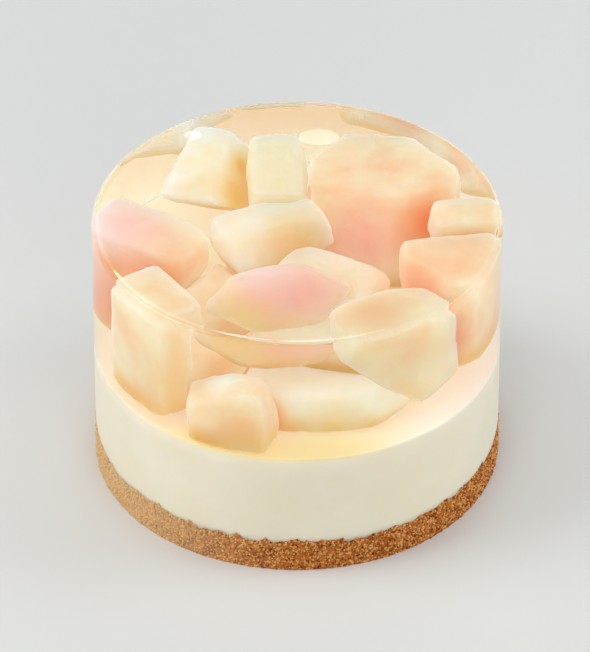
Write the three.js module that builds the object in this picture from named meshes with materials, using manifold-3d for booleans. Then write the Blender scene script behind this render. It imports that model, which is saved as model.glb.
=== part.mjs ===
// A round peach jelly cheesecake, turned out of its ring mould.
// From the table up: a pressed biscuit crumb base, a set cream cheese layer, and a clear peach jelly
// that holds chunks of peach. The chunks that reach the wall or the top of the jelly are solids here.
// Millimetres, +Z up. The origin is the middle of the flat underside.

import * as THREE from "three";
import { mergeVertices } from "three/addons/utils/BufferGeometryUtils.js";
import Module from "manifold-3d";

// Driving dimensions
const CAKE_RADIUS = 50;
const CAKE_HEIGHT = 69;
const CRUST_HEIGHT = 8.2;
const CREAM_TOP = 34;
const LAYER_GAP = 0.3;
const PEACH_GAP = 0.3;

// The crumb base
const CRUST_SEGMENTS = 160;
const CRUST_WALL_ROWS = 6;
const CRUST_FOOT_EDGE = 0.5;
const CRUST_FOOT_RING = 2;
const CRUST_EDGE_WAVE = 1.1;
const CRUST_EDGE_CRUMB = 0.45;
const CRUMB_DEPTH = 0.4;
const CRUMB_SIZE = 1.9;

// The cream cheese layer and the jelly
const CREAM_TOP_WAVE = 0.25;
const JELLY_SEGMENTS = 120;
const JELLY_RIM_ROUND = 0.9;
const JELLY_RIM_STEPS = 3;

// A repeatable number from 0 to 1 for a cell of a grid
function cellDraw(i, j) {
  const draw = Math.sin(i * 127.1 + j * 311.7) * 43758.5453;
  return draw - Math.floor(draw);
}

// The same, blended smoothly between cells. It closes on itself every `period` cells along u.
function smoothDraw(u, v, period) {
  const i = Math.floor(u);
  const j = Math.floor(v);
  const ease = (t) => t * t * (3 - 2 * t);
  const a = ease(u - i);
  const b = ease(v - j);
  const at = (p, q) => cellDraw(((p % period) + period) % period, q);
  const low = at(i, j) * (1 - a) + at(i + 1, j) * a;
  const high = at(i, j + 1) * (1 - a) + at(i + 1, j + 1) * a;
  return low * (1 - b) + high * b;
}

// How far the edge of the crumb base stands above or below its mean height
function crustEdge(angle) {
  const swell = 0.5 * Math.sin(3 * angle + 0.7) + 0.3 * Math.sin(7 * angle + 2.1);
  const bumps = 0.45 * Math.sin(13 * angle + 0.4) + 0.25 * Math.sin(22 * angle + 1.3);
  const crumbs = smoothDraw((angle / (2 * Math.PI)) * 80, 0.5, 80) - 0.5;
  return CRUST_EDGE_WAVE * (0.6 * swell + 0.6 * bumps) + 2 * CRUST_EDGE_CRUMB * crumbs;
}

// Top of the crumb base. The unevenness dies away towards the middle.
function crustTop(angle, radius) {
  const share = (radius / CAKE_RADIUS) ** 2;
  return CRUST_HEIGHT + share * crustEdge(angle);
}

// Depth of the little pits between crumbs on the wall of the base
function crumbPit(angle, z) {
  const around = Math.round((2 * Math.PI * CAKE_RADIUS) / CRUMB_SIZE);
  const u = (angle / (2 * Math.PI)) * around;
  return CRUMB_DEPTH * smoothDraw(u, z / CRUMB_SIZE, around);
}

// Top of the cream cheese layer, which set almost level
function creamTop(angle, radius) {
  const share = (radius / CAKE_RADIUS) ** 2;
  return CREAM_TOP + CREAM_TOP_WAVE * share * (Math.sin(2 * angle + 1.1) + 0.5 * Math.sin(5 * angle));
}

// A turned solid about Z whose points are then moved by `shape(angle, radius, z)` -> [radius, z]
function turned(profile, segments, shape) {
  const points = profile.map(([r, z]) => new THREE.Vector2(r, z));
  const geometry = new THREE.LatheGeometry(points, segments);
  geometry.rotateX(Math.PI / 2);
  geometry.deleteAttribute("normal");
  geometry.deleteAttribute("uv");
  const merged = mergeVertices(geometry, 1e-3);
  const place = merged.getAttribute("position");
  for (let i = 0; i < place.count; i += 1) {
    const angle = Math.atan2(place.getY(i), place.getX(i));
    const [r, z] = shape(angle, Math.hypot(place.getX(i), place.getY(i)), place.getZ(i));
    place.setXYZ(i, r * Math.cos(angle), r * Math.sin(angle), z);
  }
  return merged;
}

// Rings of points across the layers' flat faces
const RING_RADII = [0, 20, 36, 45, CAKE_RADIUS];
const INNER_RING = 36;

function crustGeometry() {
  const wall = [];
  for (let row = 1; row < CRUST_WALL_ROWS; row += 1) {
    wall.push([CAKE_RADIUS, (CRUST_HEIGHT * row) / CRUST_WALL_ROWS]);
  }
  const foot = [[0, 0], [CAKE_RADIUS - CRUST_FOOT_RING, 0], [CAKE_RADIUS - CRUST_FOOT_EDGE, 0]];
  const top = [...RING_RADII].reverse().map((r) => [r, CRUST_HEIGHT]);
  return turned([...foot, ...wall, ...top], CRUST_SEGMENTS, (angle, r, z) => {
    const share = z / CRUST_HEIGHT;
    const onWall = r > CAKE_RADIUS - CRUST_FOOT_EDGE / 2;
    const pit = onWall ? crumbPit(angle, z) : 0;
    return [r - pit, share * crustTop(angle, r)];
  });
}

function creamGeometry() {
  const bottom = RING_RADII.map((r) => [r, CRUST_HEIGHT]);
  const top = [CAKE_RADIUS, INNER_RING, 0].map((r) => [r, CREAM_TOP]);
  const middle = (CRUST_HEIGHT + CREAM_TOP) / 2;
  return turned([...bottom, ...top], CRUST_SEGMENTS, (angle, r, z) => [
    r,
    z > middle ? creamTop(angle, r) : crustTop(angle, r) + LAYER_GAP,
  ]);
}

function jellyGeometry() {
  const bottom = [0, INNER_RING, CAKE_RADIUS].map((r) => [r, CREAM_TOP]);
  const rim = [];
  for (let step = 0; step <= JELLY_RIM_STEPS; step += 1) {
    const turn = (Math.PI / 2) * (step / JELLY_RIM_STEPS);
    rim.push([
      CAKE_RADIUS - JELLY_RIM_ROUND * (1 - Math.cos(turn)),
      CAKE_HEIGHT - JELLY_RIM_ROUND * (1 - Math.sin(turn)),
    ]);
  }
  const middle = (CREAM_TOP + CAKE_HEIGHT) / 2;
  return turned([...bottom, ...rim, [0, CAKE_HEIGHT]], JELLY_SEGMENTS, (angle, r, z) => [
    r,
    z > middle ? z : creamTop(angle, r) + LAYER_GAP,
  ]);
}

// The inside of the mould, which trims the chunks that were pressed against its wall or level with its top
function mouldGeometry() {
  const profile = [[0, CREAM_TOP], [CAKE_RADIUS, CREAM_TOP], [CAKE_RADIUS, CAKE_HEIGHT], [0, CAKE_HEIGHT]];
  return turned(profile, JELLY_SEGMENTS, (angle, r, z) => [r, z]);
}

const PEACH_GRID = 4;

// One chunk of peach, lying along X about its own middle. `block` runs from 2 for a ball to 8 for a
// box. `taper` narrows the +X end and `tips` narrows both ends.
function peachGeometry(piece, grow) {
  const { size, block = 5, taper = 0, tips = 0 } = piece;
  const geometry = new THREE.BoxGeometry(2, 2, 2, PEACH_GRID, PEACH_GRID, PEACH_GRID);
  geometry.deleteAttribute("normal");
  geometry.deleteAttribute("uv");
  const merged = mergeVertices(geometry, 1e-3);
  const place = merged.getAttribute("position");
  const half = size.map((s) => s / 2 + grow);
  for (let i = 0; i < place.count; i += 1) {
    const at = [place.getX(i), place.getY(i), place.getZ(i)];
    const norm = at.reduce((sum, c) => sum + Math.abs(c) ** block, 0) ** (1 / block);
    const [x, y, z] = at.map((c) => c / norm);
    const narrow = (1 - (taper * (x + 1)) / 2) * (1 - tips * x * x);
    place.setXYZ(i, x * half[0], y * half[1] * narrow, z * half[2] * narrow);
  }
  return merged;
}

// The chunks that reach the wall or the top of the jelly. `at` is the middle in mm, `size` the length,
// width and height, `turn` the plan angle of the length, and `tilt` the lean about the chunk's own
// X and Y, all in degrees. Each cut is a point of a knife cut and the way the cut face looks.
const PEACH_PIECES = [
  {
    name: "peach_left", at: [-35.5, -2, 59.2], size: [31, 17, 20.4], turn: -30, taper: 0.25, hue: "pink",
  },
  {
    name: "peach_back_left", at: [-20.5, 25, 58], size: [31, 19, 23], turn: 74,
    cuts: [[[-18.5, 23, 66], [0.85, -0.12, 0.5]], [[-25, 10, 65], [-0.2, -0.8, -0.55]]],
  },
  {
    name: "peach_back_middle", at: [-5, 26.5, 59.8], size: [26, 13.5, 19.4], turn: 91, hue: "pale",
  },
  {
    name: "peach_big", at: [20, 15, 56.3], size: [37, 46, 26.6], turn: -8, block: 6, hue: "pink",
    cuts: [
      [[22, 3, 58], [-0.26, -0.64, 0.72]], [[23.3, 11.6, 66], [0.37, -0.64, 0.67]],
      [[3, 29, 60], [-0.78, 0.6, 0.2]], [[36, 30, 60], [0.75, 0.65, 0.2]],
    ],
  },
  {
    name: "peach_right_back", at: [42.5, 5, 61.5], size: [18, 11, 16], turn: 8,
  },
  {
    name: "peach_right", at: [38, -14.5, 56], size: [24, 21, 24], turn: 8, block: 4, hue: "pink",
    cuts: [[[28, -18, 60], [-0.72, -0.6, 0.35]]],
  },
  {
    name: "peach_front_right", at: [23.5, -36, 56.5], size: [34, 18, 25], turn: 30, tilt: [0, 33],
    block: 3, hue: "pale",
    cuts: [
      [[19, -41, 53.5], [-0.7, 0, -0.71]], [[37, -33, 55], [1, 0, 0.1]],
      [[34, -36, 45], [0.5, -0.2, -0.84]],
    ],
  },
  {
    name: "peach_half_moon", at: [-4.5, -24, 61], size: [34, 21, 17], turn: 12, block: 3, tips: 0.4,
    hue: "pink",
  },
  {
    name: "peach_front_low", at: [-15.5, -40.8, 43.2], size: [20, 15, 17.5], turn: -16, block: 4,
    cuts: [[[-7.5, -43, 50], [0.93, -0.1, 0.35]]],
  },
  {
    name: "peach_front_left", at: [-35.5, -27.5, 51.5], size: [20.5, 18, 29], turn: -56, hue: "pale",
  },
];

const wasm = await Module();
wasm.setup();

function solidFrom(geometry) {
  const mesh = new wasm.Mesh({
    numProp: 3,
    vertProperties: geometry.getAttribute("position").array,
    triVerts: new Uint32Array(geometry.index.array),
  });
  return new wasm.Manifold(mesh);
}

function geometryFrom(solid) {
  const { vertProperties, triVerts } = solid.getMesh();
  const geometry = new THREE.BufferGeometry();
  geometry.setAttribute("position", new THREE.BufferAttribute(vertProperties, 3));
  geometry.setIndex(new THREE.BufferAttribute(triVerts, 1));
  geometry.computeVertexNormals();
  return geometry;
}

function peachPlaced(piece, grow) {
  const { at, turn = 0, tilt = [0, 0], cuts = [] } = piece;
  const spin = new THREE.Euler(
    THREE.MathUtils.degToRad(tilt[0]),
    THREE.MathUtils.degToRad(tilt[1]),
    THREE.MathUtils.degToRad(turn),
    "ZYX",
  );
  const matrix = new THREE.Matrix4().makeRotationFromEuler(spin).setPosition(...at);
  let solid = solidFrom(peachGeometry(piece, grow).applyMatrix4(matrix));
  for (const [point, facing] of cuts) {
    const way = new THREE.Vector3(...facing).normalize();
    const reach = way.dot(new THREE.Vector3(...point)) + grow;
    solid = solid.trimByPlane(way.negate().toArray(), -reach);
  }
  return solid;
}

function largestPart(solid) {
  return solid.decompose().reduce((most, part) => (part.volume() > most.volume() ? part : most));
}

const MATERIALS = {
  crust: new THREE.MeshStandardMaterial({ color: 0xc08a4e, roughness: 0.9, metalness: 0 }),
  cream: new THREE.MeshStandardMaterial({ color: 0xf5efd9, roughness: 0.5, metalness: 0 }),
  jelly: new THREE.MeshStandardMaterial({
    color: 0xfbdcb8,
    roughness: 0.08,
    metalness: 0,
    transparent: true,
    opacity: 0.35,
  }),
  peach: new THREE.MeshStandardMaterial({ color: 0xfbd3ae, roughness: 0.35, metalness: 0 }),
  pink: new THREE.MeshStandardMaterial({ color: 0xf6b9a4, roughness: 0.35, metalness: 0 }),
  pale: new THREE.MeshStandardMaterial({ color: 0xf6e3c4, roughness: 0.35, metalness: 0 }),
};

function named(name, geometry, material) {
  const mesh = new THREE.Mesh(geometry, material);
  mesh.name = name;
  return mesh;
}

const cake = new THREE.Group();
cake.name = "peach_jelly_cheesecake";
cake.add(named("crust", crustGeometry(), MATERIALS.crust));
cake.add(named("cheesecake", creamGeometry(), MATERIALS.cream));

// Each chunk rests against the ones before it, and the jelly has a pocket for every chunk
const mould = solidFrom(mouldGeometry());
let room = mould;
let jelly = solidFrom(jellyGeometry());
for (const piece of PEACH_PIECES) {
  const chunk = largestPart(peachPlaced(piece, 0).intersect(room));
  const pocket = peachPlaced(piece, PEACH_GAP);
  room = room.subtract(pocket);
  jelly = jelly.subtract(pocket);
  cake.add(named(piece.name, geometryFrom(chunk), MATERIALS[piece.hue ?? "peach"]));
}
cake.add(named("jelly", geometryFrom(largestPart(jelly)), MATERIALS.jelly));

export default cake;
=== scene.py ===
# A round peach jelly cheesecake: biscuit crumb base, cream cheese, and clear jelly with peach chunks.
import math

import bpy
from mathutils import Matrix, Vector


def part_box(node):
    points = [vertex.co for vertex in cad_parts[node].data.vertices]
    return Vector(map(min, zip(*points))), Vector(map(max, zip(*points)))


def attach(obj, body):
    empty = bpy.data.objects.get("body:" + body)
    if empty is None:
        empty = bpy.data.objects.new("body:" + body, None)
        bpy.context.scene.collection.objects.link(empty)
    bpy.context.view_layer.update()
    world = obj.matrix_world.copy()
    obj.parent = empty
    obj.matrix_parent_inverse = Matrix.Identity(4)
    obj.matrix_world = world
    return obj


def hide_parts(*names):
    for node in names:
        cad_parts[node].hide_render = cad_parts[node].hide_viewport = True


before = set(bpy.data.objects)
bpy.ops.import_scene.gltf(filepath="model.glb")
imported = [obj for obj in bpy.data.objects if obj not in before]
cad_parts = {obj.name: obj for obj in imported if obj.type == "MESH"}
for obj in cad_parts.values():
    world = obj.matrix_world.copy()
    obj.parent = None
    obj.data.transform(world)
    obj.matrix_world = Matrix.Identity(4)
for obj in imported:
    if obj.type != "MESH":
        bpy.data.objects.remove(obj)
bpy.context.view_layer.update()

MM = 0.001

# The cake's radius and height come from the frame
jelly_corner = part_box("jelly")[1]
CAKE_RADIUS = jelly_corner.x
CAKE_TOP = jelly_corner.z

# The layers, whose walls stand back a hair from the jelly's
CRUST_TOP = 8.6 * MM
CRUST_RADIUS = CAKE_RADIUS - 0.05 * MM
CREAM_TOP = 34 * MM
CREAM_RADIUS = CAKE_RADIUS - 0.05 * MM

# The low lip round the jelly's top, the gap between two chunks as they are cut, which their swelling
# partly fills again, and how far under the jelly's outside a chunk stays
LIP = 0.3 * MM
CHUNK_GAP = 1.5 * MM
SKIN = 0.35 * MM

# A face counts as lying flat when its normal is at least this upright
UPRIGHT = 0.9

# Cream cheese tones: two that mix, then the top's tone with painted light that makes it paler, a painted
# warm glow on the top's front and painted pale light on the top's right, standing in for the light that
# reaches the top through the jelly
CREAM, PALE_CREAM = (0.87, 0.8, 0.62), (0.9, 0.84, 0.68)
CREAM_TOP_PAINTED_PALER = (0.9, 0.88, 0.68)
CREAM_FRONT_PAINTED_GLOW = (0.86, 0.76, 0.4)
CREAM_RIGHT_PAINTED_LIGHT = (0.93, 0.97, 0.86)

# Biscuit tones: two that mix, and a speck that darkens them. Straw lies over them where it baked less.
BAKED = (0.44, 0.12, 0.015), (0.6, 0.22, 0.04), (0.35, 0.14, 0.07)
GOLDEN = (0.76, 0.36, 0.1), (0.84, 0.48, 0.17), (0.6, 0.4, 0.25)
STRAW = (0.82, 0.58, 0.3)
TOASTED = (0.17, 0.03, 0.004), (0.3, 0.065, 0.009), (0.5, 0.3, 0.2)

# The photograph's camera: focal length in mm, and how far from its target and how high it stands
CAMERA_LENS = 336.8
CAMERA_DISTANCE = 1.5
CAMERA_ELEVATION = 37.35
CAMERA_TARGET = Vector((-0.5 * MM, 0, 36.4 * MM))


def deselect():
    bpy.ops.object.select_all(action="DESELECT")


def edit_mode():
    bpy.ops.object.mode_set(mode="EDIT")


def object_mode():
    bpy.ops.object.mode_set(mode="OBJECT")


def select_where(kind, wanted):
    """Selects the faces or edges of the piece in hand whose middle and normal pass the test."""
    bpy.ops.mesh.select_all(action="DESELECT")
    object_mode()
    mesh = bpy.context.object.data
    for item in getattr(mesh, kind):
        points = [mesh.vertices[i].co for i in item.vertices]
        middle = sum(points, Vector()) / len(points)
        normal = item.normal if kind == "polygons" else points[1] - points[0]
        item.select = wanted(middle, normal)
    edit_mode()


def apply_modifier(kind, **settings):
    """Adds one modifier to the piece in hand, sets it and applies it."""
    piece = bpy.context.object
    modifier = piece.modifiers.new(kind.lower(), kind)
    for key, value in settings.items():
        setattr(modifier, key, value)
    bpy.ops.object.modifier_apply(modifier=modifier.name)


def settle():
    """Puts the piece's place, turn and size into its mesh."""
    bpy.ops.object.transform_apply(location=True, rotation=True, scale=True)


def dress(name, material, slot, *nodes):
    """Names the piece in hand, gives it its material and ties it to the frame."""
    piece = bpy.context.object
    piece.name = name
    piece.data.name = name
    piece.data.materials.clear()
    piece.data.materials.append(material)
    bpy.ops.object.shade_smooth()
    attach(piece, "root")
    if nodes:
        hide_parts(*nodes)
    deselect()
    return piece


def clouds(name, scale, depth=2):
    texture = bpy.data.textures.new(name, "CLOUDS")
    texture.noise_scale = scale
    texture.noise_depth = depth
    return texture


# Materials


def new_material(name):
    material = bpy.data.materials.new(name)
    material.use_nodes = True
    nodes = material.node_tree.nodes
    return material, nodes, material.node_tree.links, nodes["Principled BSDF"]


def set_values(shader, **values):
    for key, value in values.items():
        shader.inputs[key.replace("_", " ")].default_value = value


def uneven_tint_group():
    """Colour that drifts between two tones in soft patches."""
    group = bpy.data.node_groups.new("uneven tint", "ShaderNodeTree")
    interface = group.interface
    interface.new_socket("Place", in_out="INPUT", socket_type="NodeSocketVector")
    interface.new_socket("Tone", in_out="INPUT", socket_type="NodeSocketColor")
    interface.new_socket("Second Tone", in_out="INPUT", socket_type="NodeSocketColor")
    interface.new_socket("Scale", in_out="INPUT", socket_type="NodeSocketFloat")
    interface.new_socket("Low", in_out="INPUT", socket_type="NodeSocketFloat")
    interface.new_socket("High", in_out="INPUT", socket_type="NodeSocketFloat")
    interface.new_socket("Color", in_out="OUTPUT", socket_type="NodeSocketColor")
    nodes, links = group.nodes, group.links
    inside = nodes.new("NodeGroupInput")
    outside = nodes.new("NodeGroupOutput")
    noise = nodes.new("ShaderNodeTexNoise")
    noise.inputs["Detail"].default_value = 3
    spread = nodes.new("ShaderNodeMapRange")
    mix = nodes.new("ShaderNodeMix")
    mix.data_type = "RGBA"
    links.new(inside.outputs["Place"], noise.inputs["Vector"])
    links.new(inside.outputs["Scale"], noise.inputs["Scale"])
    links.new(noise.outputs["Fac"], spread.inputs["Value"])
    links.new(inside.outputs["Low"], spread.inputs["From Min"])
    links.new(inside.outputs["High"], spread.inputs["From Max"])
    links.new(spread.outputs["Result"], mix.inputs["Factor"])
    links.new(inside.outputs["Tone"], mix.inputs["A"])
    links.new(inside.outputs["Second Tone"], mix.inputs["B"])
    links.new(mix.outputs["Result"], outside.inputs["Color"])
    return group


UNEVEN_TINT = uneven_tint_group()


def tint(nodes, links, place, tone, second, scale, low=0.35, high=0.65):
    """Adds the uneven tint to a material. The scale is in patches per metre."""
    node = nodes.new("ShaderNodeGroup")
    node.node_tree = UNEVEN_TINT
    node.inputs["Tone"].default_value = (*tone, 1)
    node.inputs["Second Tone"].default_value = (*second, 1)
    node.inputs["Scale"].default_value = scale
    node.inputs["Low"].default_value = low
    node.inputs["High"].default_value = high
    links.new(place, node.inputs["Place"])
    return node


def cream_material():
    """Set cream cheese. Its top under the jelly is painted paler, with a painted warm yellow glow in
    front and painted pale light at the right, in place of the light that reaches it through the jelly.
    """
    material, nodes, links, shader = new_material("set cream cheese")
    place = nodes.new("ShaderNodeTexCoord").outputs["Object"]
    tones = tint(nodes, links, place, CREAM, PALE_CREAM, 60)
    axes = nodes.new("ShaderNodeSeparateXYZ")
    links.new(place, axes.inputs["Vector"])
    top_height = CREAM_TOP / MM
    top = fade(nodes, links, axes.outputs["Z"], top_height, top_height - 1)
    # Where the painted warm glow and the painted pale light lie on the top
    front = top_towards(nodes, links, top, axes.outputs["Y"], -44, -30)
    right = top_towards(nodes, links, top, axes.outputs["X"], 36, 8)
    # The top's painted light, then the painted glow in front and the painted pale light at the right
    colour = blend(nodes, links, tones.outputs["Color"], CREAM_TOP_PAINTED_PALER, top)
    colour = blend(nodes, links, colour, CREAM_FRONT_PAINTED_GLOW, front)
    colour = blend(nodes, links, colour, CREAM_RIGHT_PAINTED_LIGHT, right)
    links.new(colour, shader.inputs["Base Color"])
    pores = nodes.new("ShaderNodeTexNoise")
    pores.inputs["Scale"].default_value = 900
    links.new(place, pores.inputs["Vector"])
    bump = nodes.new("ShaderNodeBump")
    bump.inputs["Strength"].default_value = 0.08
    bump.inputs["Distance"].default_value = 0.1 * MM
    links.new(pores.outputs["Fac"], bump.inputs["Height"])
    links.new(bump.outputs["Normal"], shader.inputs["Normal"])
    set_values(shader, Roughness=0.5, Subsurface_Weight=0.6, Subsurface_Scale=3 * MM)
    shader.inputs["Subsurface Radius"].default_value = (1, 0.7, 0.4)
    shader.inputs["Specular IOR Level"].default_value = 0.3
    return material


def jelly_material():
    """Clear set jelly. Lamps shine straight through it, and what is left of their light is warm."""
    material, nodes, links, shader = new_material("clear peach jelly")
    set_values(shader, Roughness=0.0, IOR=1.345, Transmission_Weight=1.0)
    shader.inputs["Base Color"].default_value = (1, 1, 1, 1)
    lamps = nodes.new("ShaderNodeLightPath")
    through = nodes.new("ShaderNodeBsdfTransparent")
    mix = nodes.new("ShaderNodeMixShader")
    absorb = nodes.new("ShaderNodeVolumeAbsorption")
    absorb.inputs["Color"].default_value = (1.0, 0.9, 0.78, 1)
    absorb.inputs["Density"].default_value = 5
    output = nodes["Material Output"]
    links.new(lamps.outputs["Is Shadow Ray"], mix.inputs["Fac"])
    links.new(shader.outputs["BSDF"], mix.inputs[1])
    links.new(through.outputs["BSDF"], mix.inputs[2])
    links.new(mix.outputs["Shader"], output.inputs["Surface"])
    links.new(absorb.outputs["Volume"], output.inputs["Volume"])
    return material


def blend(nodes, links, under, over, amount):
    """Lays one plain colour over another by an amount that changes over the piece."""
    mix = nodes.new("ShaderNodeMix")
    mix.data_type = "RGBA"
    mix.inputs["B"].default_value = (*over, 1)
    links.new(under, mix.inputs["A"])
    links.new(amount, mix.inputs["Factor"])
    return mix.outputs["Result"]


def top_towards(nodes, links, top, axis, start, end):
    """The part of the top that lies towards one side of the cake, fading from start to end in mm."""
    node = nodes.new("ShaderNodeMath")
    node.operation = "MULTIPLY"
    links.new(top, node.inputs[0])
    links.new(fade(nodes, links, axis, start, end), node.inputs[1])
    return node.outputs["Value"]


def fade(nodes, links, value, start, end, strength=1):
    """Full strength at the start and nothing at the end, in mm."""
    node = nodes.new("ShaderNodeMapRange")
    node.interpolation_type = "SMOOTHSTEP"
    node.inputs["From Min"].default_value = start * MM
    node.inputs["From Max"].default_value = end * MM
    node.inputs["To Min"].default_value = strength
    node.inputs["To Max"].default_value = 0
    links.new(value, node.inputs["Value"])
    return node.outputs["Result"]


def flesh_material(name, tones, underside, blushes_and_shade):
    """Soft translucent peach flesh. Painted shade darkens it towards its underside, and each blush or
    patch of painted shade is a tone, the place it is strongest at, in mm, and how far it reaches."""
    material, nodes, links, shader = new_material(name)
    place = nodes.new("ShaderNodeTexCoord").outputs["Object"]
    colour = tint(nodes, links, place, *tones, 90).outputs["Color"]
    axes = nodes.new("ShaderNodeSeparateXYZ")
    links.new(place, axes.inputs["Vector"])
    # Painted shade over the lowest part of the chunk
    low = fade(nodes, links, axes.outputs["Z"], underside, underside + UNDERSIDE_SHADE_REACH)
    colour = blend(nodes, links, colour, UNDERSIDE_SHADE, low)
    for tone, centre, reach in blushes_and_shade:
        away = nodes.new("ShaderNodeVectorMath")
        away.operation = "DISTANCE"
        away.inputs[1].default_value = [c * MM for c in centre]
        links.new(place, away.inputs[0])
        colour = blend(nodes, links, colour, tone, fade(nodes, links, away.outputs["Value"], 0, reach))
    links.new(colour, shader.inputs["Base Color"])
    set_values(shader, Roughness=0.6, Subsurface_Weight=1.0, Subsurface_Scale=45 * MM)
    shader.inputs["Subsurface Radius"].default_value = (1, 0.6, 0.4)
    shader.inputs["Specular IOR Level"].default_value = 0
    return material


def crumb_material(name, tone, second, speck):
    """Baked biscuit with darker specks, less baked towards the left of the cake."""
    material, nodes, links, shader = new_material(name)
    place = nodes.new("ShaderNodeTexCoord").outputs["Object"]
    tones = tint(nodes, links, place, tone, second, 500)
    specks = tint(nodes, links, place, (1, 1, 1), speck, 1300, 0.55, 0.72)
    mix = nodes.new("ShaderNodeMix")
    mix.data_type = "RGBA"
    mix.blend_type = "MULTIPLY"
    mix.inputs["Factor"].default_value = 1
    links.new(tones.outputs["Color"], mix.inputs["A"])
    links.new(specks.outputs["Color"], mix.inputs["B"])
    axes = nodes.new("ShaderNodeSeparateXYZ")
    links.new(place, axes.inputs["Vector"])
    less_baked = fade(nodes, links, axes.outputs["X"], -50, 0, 0.78)
    colour = blend(nodes, links, mix.outputs["Result"], STRAW, less_baked)
    links.new(colour, shader.inputs["Base Color"])
    set_values(shader, Roughness=0.85)
    shader.inputs["Specular IOR Level"].default_value = 0.25
    return material


# The crumb base


def crust():
    """The pressed base: a drum with a ragged upper edge, a pitted wall and a crisp lower edge."""
    segments, row_height, foot = 900, 0.45 * MM, 0.6 * MM
    rings_inside_edge = (0.4, 0.5, 0.6, 0.8, 1.2)
    bpy.ops.mesh.primitive_cylinder_add(
        vertices=segments, radius=CRUST_RADIUS, depth=CRUST_TOP, location=(0, 0, CRUST_TOP / 2)
    )
    settle()
    edit_mode()
    rows = round(CRUST_TOP / row_height)
    for row in range(1, rows):
        bpy.ops.mesh.select_all(action="SELECT")
        bpy.ops.mesh.bisect(plane_co=(0, 0, CRUST_TOP * row / rows), plane_no=(0, 0, 1))
    select_where("polygons", lambda middle, normal: normal.z > UPRIGHT)
    for width in rings_inside_edge:
        bpy.ops.mesh.inset(thickness=width * MM)
    object_mode()
    piece = bpy.context.object
    top = piece.vertex_groups.new(name="upper edge")
    wall = piece.vertex_groups.new(name="above the foot")
    for vertex in piece.data.vertices:
        up = vertex.co.z / CRUST_TOP
        top.add([vertex.index], up**2, "REPLACE")
        wall.add([vertex.index], min(1, vertex.co.z / foot), "REPLACE")
    for wave, scale, height in (("slow wave", 12, 4.4), ("crumb wave", 2.6, 3), ("crumbs", 1, 1.6)):
        apply_modifier(
            "DISPLACE", texture=clouds(wave, scale * MM), texture_coords="GLOBAL", direction="Z",
            strength=height * MM, mid_level=0.5, vertex_group="upper edge",
        )
    apply_modifier(
        "DISPLACE", texture=clouds("crumb relief", 0.8 * MM, 3), texture_coords="GLOBAL",
        strength=0.8 * MM, mid_level=0.62, vertex_group="above the foot",
    )
    for vertex in piece.data.vertices:
        vertex.co.z = max(vertex.co.z, 0)
    return dress("crust_base", crumb_material("pressed biscuit", *BAKED), "biscuit_crumb", "crust")


def crumbs(name, base, per_square_metre, smallest, largest, seed, tones):
    """Loose crumbs of one kind, pressed into the wall and the ragged edge of the base. Their smallest
    and largest size are in mm."""
    edge_width, lowest = 1.2 * MM, 0.02 * MM
    bpy.ops.mesh.primitive_plane_add(size=0.01)
    piece = bpy.context.object
    tree = bpy.data.node_groups.new(name, "GeometryNodeTree")
    tree.interface.new_socket("Geometry", in_out="OUTPUT", socket_type="NodeSocketGeometry")
    nodes, links = tree.nodes, tree.links
    host = nodes.new("GeometryNodeObjectInfo")
    host.inputs["Object"].default_value = base
    shown = nodes.new("GeometryNodeSeparateGeometry")
    shown.domain = "FACE"
    place = nodes.new("GeometryNodeInputPosition")
    length = nodes.new("ShaderNodeVectorMath")
    length.operation = "LENGTH"
    flat = nodes.new("ShaderNodeVectorMath")
    flat.operation = "MULTIPLY"
    flat.inputs[1].default_value = (1, 1, 0)
    outside = nodes.new("ShaderNodeMath")
    outside.operation = "GREATER_THAN"
    outside.inputs[1].default_value = CRUST_RADIUS - edge_width
    spots = nodes.new("GeometryNodeDistributePointsOnFaces")
    spots.inputs["Density"].default_value = per_square_metre
    spots.inputs["Seed"].default_value = seed
    crumb = nodes.new("GeometryNodeMeshIcoSphere")
    crumb.inputs["Radius"].default_value = 1
    crumb.inputs["Subdivisions"].default_value = 1
    copies = nodes.new("GeometryNodeInstanceOnPoints")
    sizes = nodes.new("FunctionNodeRandomValue")
    sizes.data_type = "FLOAT_VECTOR"
    sizes.inputs["Min"].default_value = (smallest * MM / 2,) * 3
    sizes.inputs["Max"].default_value = (largest * MM / 2,) * 3
    sizes.inputs["Seed"].default_value = seed + 1
    turns = nodes.new("FunctionNodeRandomValue")
    turns.data_type = "FLOAT_VECTOR"
    turns.inputs["Max"].default_value = (math.tau,) * 3
    turns.inputs["Seed"].default_value = seed + 2
    real = nodes.new("GeometryNodeRealizeInstances")
    output = nodes.new("NodeGroupOutput")
    links.new(place.outputs["Position"], flat.inputs[0])
    links.new(flat.outputs["Vector"], length.inputs[0])
    links.new(length.outputs["Value"], outside.inputs[0])
    links.new(outside.outputs["Value"], shown.inputs["Selection"])
    links.new(host.outputs["Geometry"], shown.inputs["Geometry"])
    links.new(shown.outputs["Selection"], spots.inputs["Mesh"])
    links.new(spots.outputs["Points"], copies.inputs["Points"])
    links.new(crumb.outputs["Mesh"], copies.inputs["Instance"])
    links.new(sizes.outputs["Value"], copies.inputs["Scale"])
    links.new(turns.outputs["Value"], copies.inputs["Rotation"])
    links.new(copies.outputs["Instances"], real.inputs["Geometry"])
    links.new(real.outputs["Geometry"], output.inputs["Geometry"])
    apply_modifier("NODES", node_group=tree)
    for vertex in piece.data.vertices:
        vertex.co.z = max(vertex.co.z, lowest)
    dress(name, crumb_material(f"{name} biscuit", *tones), "biscuit_crumb")


# The cream cheese


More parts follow.
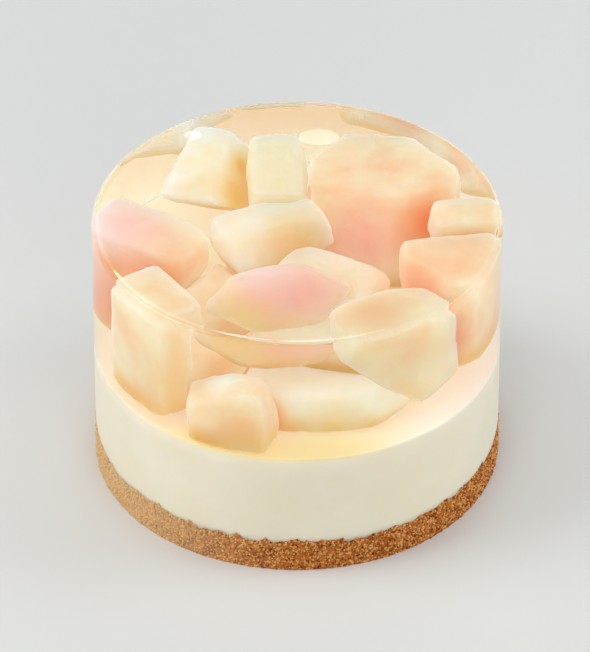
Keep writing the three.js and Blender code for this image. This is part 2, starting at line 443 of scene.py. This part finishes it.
def cheesecake():
    """The set cream layer. Its foot tapers in, so that the crumb base's ragged edge overlaps it."""
    low, foot_radius, foot_ring = 5.5 * MM, CREAM_RADIUS - 0.7 * MM, 2 * MM
    heights, rings = (10.5, 18, 24, 30), (1, 8, 16)
    bpy.ops.mesh.primitive_cylinder_add(
        vertices=256, radius=CREAM_RADIUS, depth=CREAM_TOP - low, location=(0, 0, (CREAM_TOP + low) / 2)
    )
    settle()
    edit_mode()
    for height in heights:
        bpy.ops.mesh.select_all(action="SELECT")
        bpy.ops.mesh.bisect(plane_co=(0, 0, height * MM), plane_no=(0, 0, 1))
    select_where("polygons", lambda middle, normal: normal.z > UPRIGHT)
    for width in rings:
        bpy.ops.mesh.inset(thickness=width * MM)
    select_where("polygons", lambda middle, normal: normal.z < -UPRIGHT)
    shrink = foot_radius / CREAM_RADIUS
    bpy.ops.transform.resize(value=(shrink, shrink, 1), center_override=(0, 0, low))
    bpy.ops.mesh.inset(thickness=foot_ring)
    object_mode()
    dress("cream_layer", cream_material(), "cream_cheese", "cheesecake")


# The jelly


def level(normal):
    """Whether an edge of the jelly lies level."""
    return abs(normal.z) < 1e-5


def jelly():
    """The jelly, sunk a little into the cream cheese, with a rounded rim and a low lip."""
    sunk, rim, edge = 0.4 * MM, 0.9 * MM, 0.2 * MM
    lip_outside, lip_inside = 0.5 * MM, 0.7 * MM
    low = CREAM_TOP - sunk
    bpy.ops.mesh.primitive_cylinder_add(
        vertices=256, radius=CAKE_RADIUS, depth=CAKE_TOP - low, location=(0, 0, (CAKE_TOP + low) / 2)
    )
    settle()
    edit_mode()
    select_where("edges", lambda middle, normal: level(normal) and middle.z > CAKE_TOP - rim)
    bpy.ops.mesh.bevel(offset=rim, segments=4, affect="EDGES")
    select_where("edges", lambda middle, normal: level(normal) and middle.z < low + edge)
    bpy.ops.mesh.bevel(offset=sunk, segments=1, affect="EDGES")
    # Narrow rings beside the rim keep the top and the wall truly flat where light bends through them
    for height in (CAKE_TOP - rim - edge, low + sunk + edge):
        bpy.ops.mesh.select_all(action="SELECT")
        bpy.ops.mesh.bisect(plane_co=(0, 0, height), plane_no=(0, 0, 1))
    # The jelly crept a little way up the mould, which leaves a low lip round its top
    select_where("polygons", lambda middle, normal: normal.z > 0.999)
    for width, drop in ((edge, 0), (lip_outside, LIP * 0.65), (lip_inside, LIP * 0.35), (edge, 0)):
        bpy.ops.mesh.inset(thickness=width, depth=-drop)
    object_mode()
    piece = dress("clear_jelly", jelly_material(), "peach_jelly", "jelly")
    bpy.context.view_layer.objects.active = piece
    piece.select_set(True)
    bpy.ops.object.shade_smooth_by_angle(angle=math.radians(35))
    deselect()


# The peach


def mould_inside():
    """The space that the chunks lie in, just inside the jelly."""
    low, high = CREAM_TOP + SKIN, CAKE_TOP - LIP - SKIN
    bpy.ops.mesh.primitive_cylinder_add(
        vertices=128, radius=CAKE_RADIUS - SKIN, depth=high - low, location=(0, 0, (high + low) / 2)
    )
    settle()
    return bpy.context.object


def room_taken(piece):
    """A copy of a chunk as it is cut, a little fatter all round, that later chunks are cut against."""
    room = piece.copy()
    room.data = piece.data.copy()
    bpy.context.collection.objects.link(room)
    deselect()
    bpy.context.view_layer.objects.active = room
    edit_mode()
    bpy.ops.mesh.select_all(action="SELECT")
    bpy.ops.transform.shrink_fatten(value=CHUNK_GAP)
    object_mode()
    bpy.context.view_layer.objects.active = piece
    return room


def largest_part(piece):
    """Drops the scraps that the cuts against other chunks leave beside a chunk."""
    deselect()
    piece.select_set(True)
    edit_mode()
    bpy.ops.mesh.separate(type="LOOSE")
    object_mode()
    parts = sorted(bpy.context.selected_objects, key=lambda part: math.prod(part.dimensions))
    for scrap in parts[:-1]:
        bpy.data.objects.remove(scrap)
    bpy.context.view_layer.objects.active = parts[-1]
    return parts[-1]


def rough_chunk(middle, size, turn, lean=(0, 0), narrow=1, tips=1, plump=0.15, slices=()):
    """A chunk of peach as the knife leaves it, in mm and degrees, lying along X until it is turned.
    `narrow` pinches its far end and `tips` both ends, and `plump` rounds it. Each slice is a point of
    a cut and the way the cut face looks."""
    bpy.ops.mesh.primitive_cube_add(size=2)
    edit_mode()
    bpy.ops.mesh.subdivide(number_cuts=4)
    bpy.ops.transform.tosphere(value=plump)
    for end, pinch in ((1, narrow * tips), (-1, tips)):
        select_where("polygons", lambda place, normal: normal.x * end > 0.7)
        bpy.ops.transform.resize(value=(1, pinch, pinch), center_override=(end, 0, 0))
    object_mode()
    piece = bpy.context.object
    piece.scale = [s * MM / 2 for s in size]
    piece.rotation_euler = [math.radians(a) for a in (*lean, turn)]
    piece.location = [c * MM for c in middle]
    settle()
    edit_mode()
    for point, facing in slices:
        bpy.ops.mesh.select_all(action="SELECT")
        place = [c * MM for c in point]
        bpy.ops.mesh.bisect(plane_co=place, plane_no=facing, use_fill=True, clear_outer=True)
    object_mode()
    return piece


def peach_chunk(mould, rooms, swell, shape):
    """A chunk of peach, cut, laid against the mould and the earlier chunks, and softened."""
    piece = rough_chunk(**shape)
    apply_modifier("BOOLEAN", object=mould, operation="INTERSECT", solver="EXACT")
    for room in rooms:
        apply_modifier("BOOLEAN", object=room, operation="DIFFERENCE", solver="EXACT")
    piece = largest_part(piece)
    rooms.append(room_taken(piece))
    apply_modifier("REMESH", mode="VOXEL", voxel_size=0.7 * MM)
    apply_modifier("SMOOTH", factor=0.5, iterations=24)
    apply_modifier(
        "DISPLACE", texture=swell, texture_coords="GLOBAL", strength=1.2 * MM, mid_level=0.4
    )
    keep_inside(piece)


def keep_inside(piece):
    """Where a chunk lies against the mould, the mould has pressed it flat."""
    for vertex in piece.data.vertices:
        vertex.co.z = min(max(vertex.co.z, CREAM_TOP + SKIN), CAKE_TOP - LIP - SKIN)
        out = math.hypot(vertex.co.x, vertex.co.y)
        inward = min(1, (CAKE_RADIUS - SKIN) / out)
        vertex.co.x *= inward
        vertex.co.y *= inward


# Tones of peach flesh. The underside shade is painted shade that lies over the lowest 8 mm of every
# chunk.
WHITISH = (0.79, 0.76, 0.63)
CREAMY = (0.79, 0.67, 0.48)
PEACHY = (0.8, 0.53, 0.35)
TAN = (0.74, 0.49, 0.25)
# Ochre and orange are painted shade, laid on shaded faces and in gaps between chunks
OCHRE_SHADE = (0.74, 0.45, 0.14)
ORANGE_SHADE = (0.78, 0.29, 0.1)
SALMON = (0.75, 0.36, 0.22)
PINK = (0.83, 0.44, 0.4)
CORAL = (0.82, 0.47, 0.36)
ROSY = (0.82, 0.53, 0.51)
HONEY = (0.72, 0.54, 0.36)
BUFF = (0.67, 0.47, 0.3)
LEMON = (0.79, 0.83, 0.66)
STRAWY = (0.7, 0.67, 0.49)
# Olive is painted shade
OLIVE_SHADE = (0.66, 0.52, 0.28)
# Painted shade under every chunk, and how far up it reaches in mm
UNDERSIDE_SHADE = (0.75, 0.35, 0.1)
UNDERSIDE_SHADE_REACH = 8

# Each chunk's place and shape in mm, then its two tones and its blushes and patches of painted shade:
# tone, centre and reach.
# The last five lie wholly in the jelly, so that the frame has no solid for them.
CHUNKS = {
    "left": dict(
        slot="peach_pink", middle=(-36.5, -1.5, 55.5), size=(28.5, 16, 23), turn=-30, narrow=0.75,
        tones=(CREAMY, PEACHY),
        blushes_and_shade=[
            # The salmon on the front face and the orange low by the wall are painted shade
            (ROSY, (-46, 0, 65), 26), (SALMON, (-35, -14, 56), 17), (ORANGE_SHADE, (-49, -8, 47), 17),
        ],
    ),
    "back_left": dict(
        slot="peach_flesh", middle=(-20.5, 25, 56), size=(31, 19, 21), turn=74,
        slices=[((-18.5, 23, 66), (0.85, -0.12, 0.5)), ((-25, 10, 65), (-0.2, -0.8, -0.55))],
        # The ochre patches on the right-hand facet are painted shade
        tones=(WHITISH, CREAMY), blushes_and_shade=[(OCHRE_SHADE, (-15, 17, 58), 16), (OCHRE_SHADE, (-13, 29, 60), 9)],
    ),
    "back_middle": dict(
        slot="peach_pale", middle=(-5, 26.5, 57.5), size=(26, 13.5, 15), turn=91, plump=0.4,
        tones=(STRAWY, STRAWY), blushes_and_shade=[],
    ),
    "big": dict(
        slot="peach_pink", middle=(20, 15, 54.5), size=(37, 46, 23), turn=-8, plump=0.08,
        slices=[
            ((22, 3, 58), (-0.26, -0.64, 0.72)), ((23.3, 11.6, 66), (0.37, -0.64, 0.67)),
            ((3, 29, 60), (-0.78, 0.6, 0.2)), ((36, 30, 60), (0.75, 0.65, 0.2)),
        ],
        # The orange at the right-front is painted shade
        tones=(PEACHY, CREAMY), blushes_and_shade=[(CORAL, (17, 0, 56), 18), (ORANGE_SHADE, (33, 8, 56), 15)],
    ),
    "right_back": dict(
        slot="peach_flesh", middle=(42.5, 5, 60), size=(19, 11.5, 15), turn=2, plump=0.4,
        tones=(CREAMY, PEACHY), blushes_and_shade=[(SALMON, (42, 0, 58), 9)],
    ),
    "right": dict(
        slot="peach_pink", middle=(38, -14.5, 55.5), size=(24, 21, 23), turn=8, plump=0.2,
        slices=[((28, -18, 60), (-0.72, -0.6, 0.35))],
        # The salmon on the front-left face is painted shade
        tones=(PEACHY, CREAMY), blushes_and_shade=[(SALMON, (29, -21, 57), 18), (PEACHY, (44, -8, 66), 16)],
    ),
    "front_right": dict(
        slot="peach_pale", middle=(23.5, -36, 56.5), size=(34, 18, 25), turn=30, lean=(0, 33), plump=0.4,
        slices=[
            ((19, -41, 53.5), (-0.7, 0, -0.71)), ((37, -33, 55), (1, 0, 0.1)),
            ((34, -36, 45), (0.5, -0.2, -0.84)),
        ],
        tones=(HONEY, STRAWY),
        blushes_and_shade=[(CREAMY, (34, -36, 48), 13), (BUFF, (18, -36, 66), 15)],
    ),
    "half_moon": dict(
        slot="peach_pink", middle=(-4.5, -24, 59), size=(30, 18, 13), turn=14, plump=0.75, tips=0.6,
        slices=[((-4, -19.5, 66), (0.05, -0.62, 0.78))],
        tones=(PEACHY, PEACHY),
        blushes_and_shade=[
            (PINK, (2, -24, 64), 22), (ROSY, (-8, -20, 65), 12), (TAN, (-13, -31, 56), 10),
        ],
    ),
    "front_low": dict(
        slot="peach_flesh", middle=(-15.5, -40.5, 43.2), size=(20, 15, 17.5), turn=-16,
        slices=[((-7.5, -43, 50), (0.93, -0.1, 0.35)), ((-17, -41, 50.5), (-0.5, 0, 0.87))],
        tones=(CREAMY, PEACHY), blushes_and_shade=[(TAN, (-12, -46, 38), 11), (LEMON, (-17, -38, 52), 8)],
    ),
    "front_left": dict(
        slot="peach_pale", middle=(-35.5, -27.5, 51), size=(20.5, 18, 28), turn=-56,
        # The olive towards the front right is painted shade
        tones=(STRAWY, HONEY), blushes_and_shade=[(OLIVE_SHADE, (-25, -39, 46), 18)],
    ),
    "sunk_centre": dict(
        slot="peach_flesh", middle=(-6, 3.5, 56), size=(26.5, 18.5, 15), turn=28, plump=0.25,
        slices=[((-7, 0, 63), (0.38, -0.71, 0.6))],
        tones=(WHITISH, CREAMY), blushes_and_shade=[(TAN, (2, -2, 57), 16)],
    ),
    "sunk_middle": dict(
        slot="peach_flesh", middle=(8, -12.5, 51.5), size=(26, 15, 13), turn=-30, plump=0.4,
        tones=(WHITISH, CREAMY), blushes_and_shade=[(PEACHY, (22, -16, 54), 10)],
    ),
    "sunk_front": dict(
        slot="peach_pale", middle=(7.5, -23.5, 40.3), size=(33, 24, 12), turn=2, plump=0.35, narrow=0.6,
        tones=(LEMON, LEMON),
        # The orange at the left end and the ochre at the foot are painted shade
        blushes_and_shade=[(CREAMY, (8, -36, 38), 11), (ORANGE_SHADE, (-8, -34, 40), 10), (OCHRE_SHADE, (8, -37, 34), 7)],
    ),
    "sunk_low_left": dict(
        slot="peach_flesh", middle=(-20, -15, 43), size=(26, 20, 16), turn=30, plump=0.3,
        tones=(CREAMY, PEACHY), blushes_and_shade=[(SALMON, (-8, -12, 44), 12)],
    ),
    "sunk_low_right": dict(
        slot="peach_flesh", middle=(20, 2, 41), size=(30, 20, 10), turn=-20, plump=0.3,
        tones=(CREAMY, PEACHY), blushes_and_shade=[],
    ),
}


def peach():
    """All the chunks. They cast no shadow, so that the lamps light those that lie deeper in the jelly."""
    mould = mould_inside()
    swell = clouds("flesh swell", 7 * MM)
    rooms = []
    for name, chunk in CHUNKS.items():
        shape = {key: chunk[key] for key in chunk if key not in ("slot", "tones", "blushes_and_shade")}
        peach_chunk(mould, rooms, swell, shape)
        underside = chunk["middle"][2] - chunk["size"][2] / 2
        flesh = flesh_material(f"{name} flesh", chunk["tones"], underside, chunk["blushes_and_shade"])
        solids = [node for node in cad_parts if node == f"peach_{name}"]
        piece = dress(f"chunk_{name}", flesh, chunk["slot"], *solids)
        piece.visible_shadow = False
    for helper in (mould, *rooms):
        bpy.data.objects.remove(helper)


# The setting


def floor():
    """A plain pale floor."""
    bpy.ops.mesh.primitive_plane_add(size=6, location=(0, 0, 0))
    piece = bpy.context.object
    piece.name = "floor"
    material, nodes, links, shader = new_material("pale floor")
    place = nodes.new("ShaderNodeTexCoord").outputs["Object"]
    tones = tint(nodes, links, place, (0.78, 0.78, 0.76), (0.8, 0.8, 0.78), 3)
    links.new(tones.outputs["Color"], shader.inputs["Base Color"])
    set_values(shader, Roughness=0.7)
    piece.data.materials.append(material)
    deselect()


def area_light(name, place, size, power, colour=(1, 1, 1), height=None):
    """A lamp in metres and watts, aimed at the middle of the cake."""
    lamp = bpy.data.lights.new(name, "AREA")
    lamp.shape = "ELLIPSE"
    lamp.size = size
    lamp.size_y = height or size
    lamp.energy = power
    lamp.color = colour
    holder = bpy.data.objects.new(name, lamp)
    bpy.context.scene.collection.objects.link(holder)
    holder.location = place
    aim = Vector((0, 0, CAKE_TOP / 2)) - Vector(place)
    holder.rotation_euler = aim.to_track_quat("-Z", "Y").to_euler()


def lights():
    """Soft daylight from the left, fills in front and behind, and small lamps that the rim mirrors."""
    world = bpy.data.worlds.new("studio")
    world.use_nodes = True
    world.node_tree.nodes["Background"].inputs["Color"].default_value = (0.95, 0.97, 1, 1)
    world.node_tree.nodes["Background"].inputs["Strength"].default_value = 0.43
    bpy.context.scene.world = world
    area_light("key", (-0.95, -0.1, 0.7), 0.8, 6, (0.98, 0.99, 1))
    area_light("front fill", (0.35, -1.2, 0.6), 1.0, 3.3, (1, 0.97, 0.91))
    area_light("back fill", (0.4, 1.25, 0.4), 1.0, 3, (0.9, 0.96, 1))
    area_light("overhead", (-0.1, 0.2, 1.2), 1.2, 0.4, (1, 0.99, 0.97))
    area_light("right rim glint", (1.0, 0.05, 0.62), 0.7, 3.6, (0.92, 0.97, 1), height=0.12)
    area_light("front rim glint", (-0.25, -0.75, 0.98), 0.3, 0.9, (1, 0.98, 0.95))
    area_light("top glint", (0.01, 1.015, 0.77), 0.018, 0.0012, height=0.007)
    area_light("left top glint", (-0.046, 1.018, 0.771), 0.008, 0.0003, height=0.004)


def camera():
    """The camera that took the photograph, looking down at the cake."""
    tilt = math.radians(CAMERA_ELEVATION)
    back = Vector((0, -math.cos(tilt), math.sin(tilt)))
    data = bpy.data.cameras.new("camera")
    data.lens = CAMERA_LENS
    data.sensor_width = 36
    data.clip_start = 0.1
    data.clip_end = 20
    holder = bpy.data.objects.new("camera", data)
    bpy.context.scene.collection.objects.link(holder)
    holder.location = CAMERA_TARGET + back * CAMERA_DISTANCE
    holder.rotation_euler = (-back).to_track_quat("-Z", "Y").to_euler()
    bpy.context.scene.camera = holder


def light_settings():
    """Lets light pass the jelly and turn inside it as often as it needs."""
    scene = bpy.context.scene
    scene.view_settings.view_transform = "Standard"
    cycles = scene.cycles
    cycles.use_denoising = True
    cycles.denoising_input_passes = "RGB_ALBEDO_NORMAL"
    cycles.max_bounces = 24
    cycles.transmission_bounces = 24
    cycles.glossy_bounces = 24
    cycles.transparent_max_bounces = 12
    cycles.caustics_refractive = True
    cycles.caustics_reflective = True
    cycles.sample_clamp_indirect = 6


camera()
floor()
base = crust()
crumbs(
    "crumbs_golden", base, per_square_metre=1600000, smallest=0.35, largest=0.85, seed=11, tones=GOLDEN
)
crumbs(
    "crumbs_baked", base, per_square_metre=900000, smallest=0.4, largest=0.95, seed=21, tones=BAKED
)
crumbs(
    "crumbs_toasted", base, per_square_metre=900000, smallest=0.3, largest=0.7, seed=31, tones=TOASTED
)
cheesecake()
jelly()
peach()
lights()
light_settings()
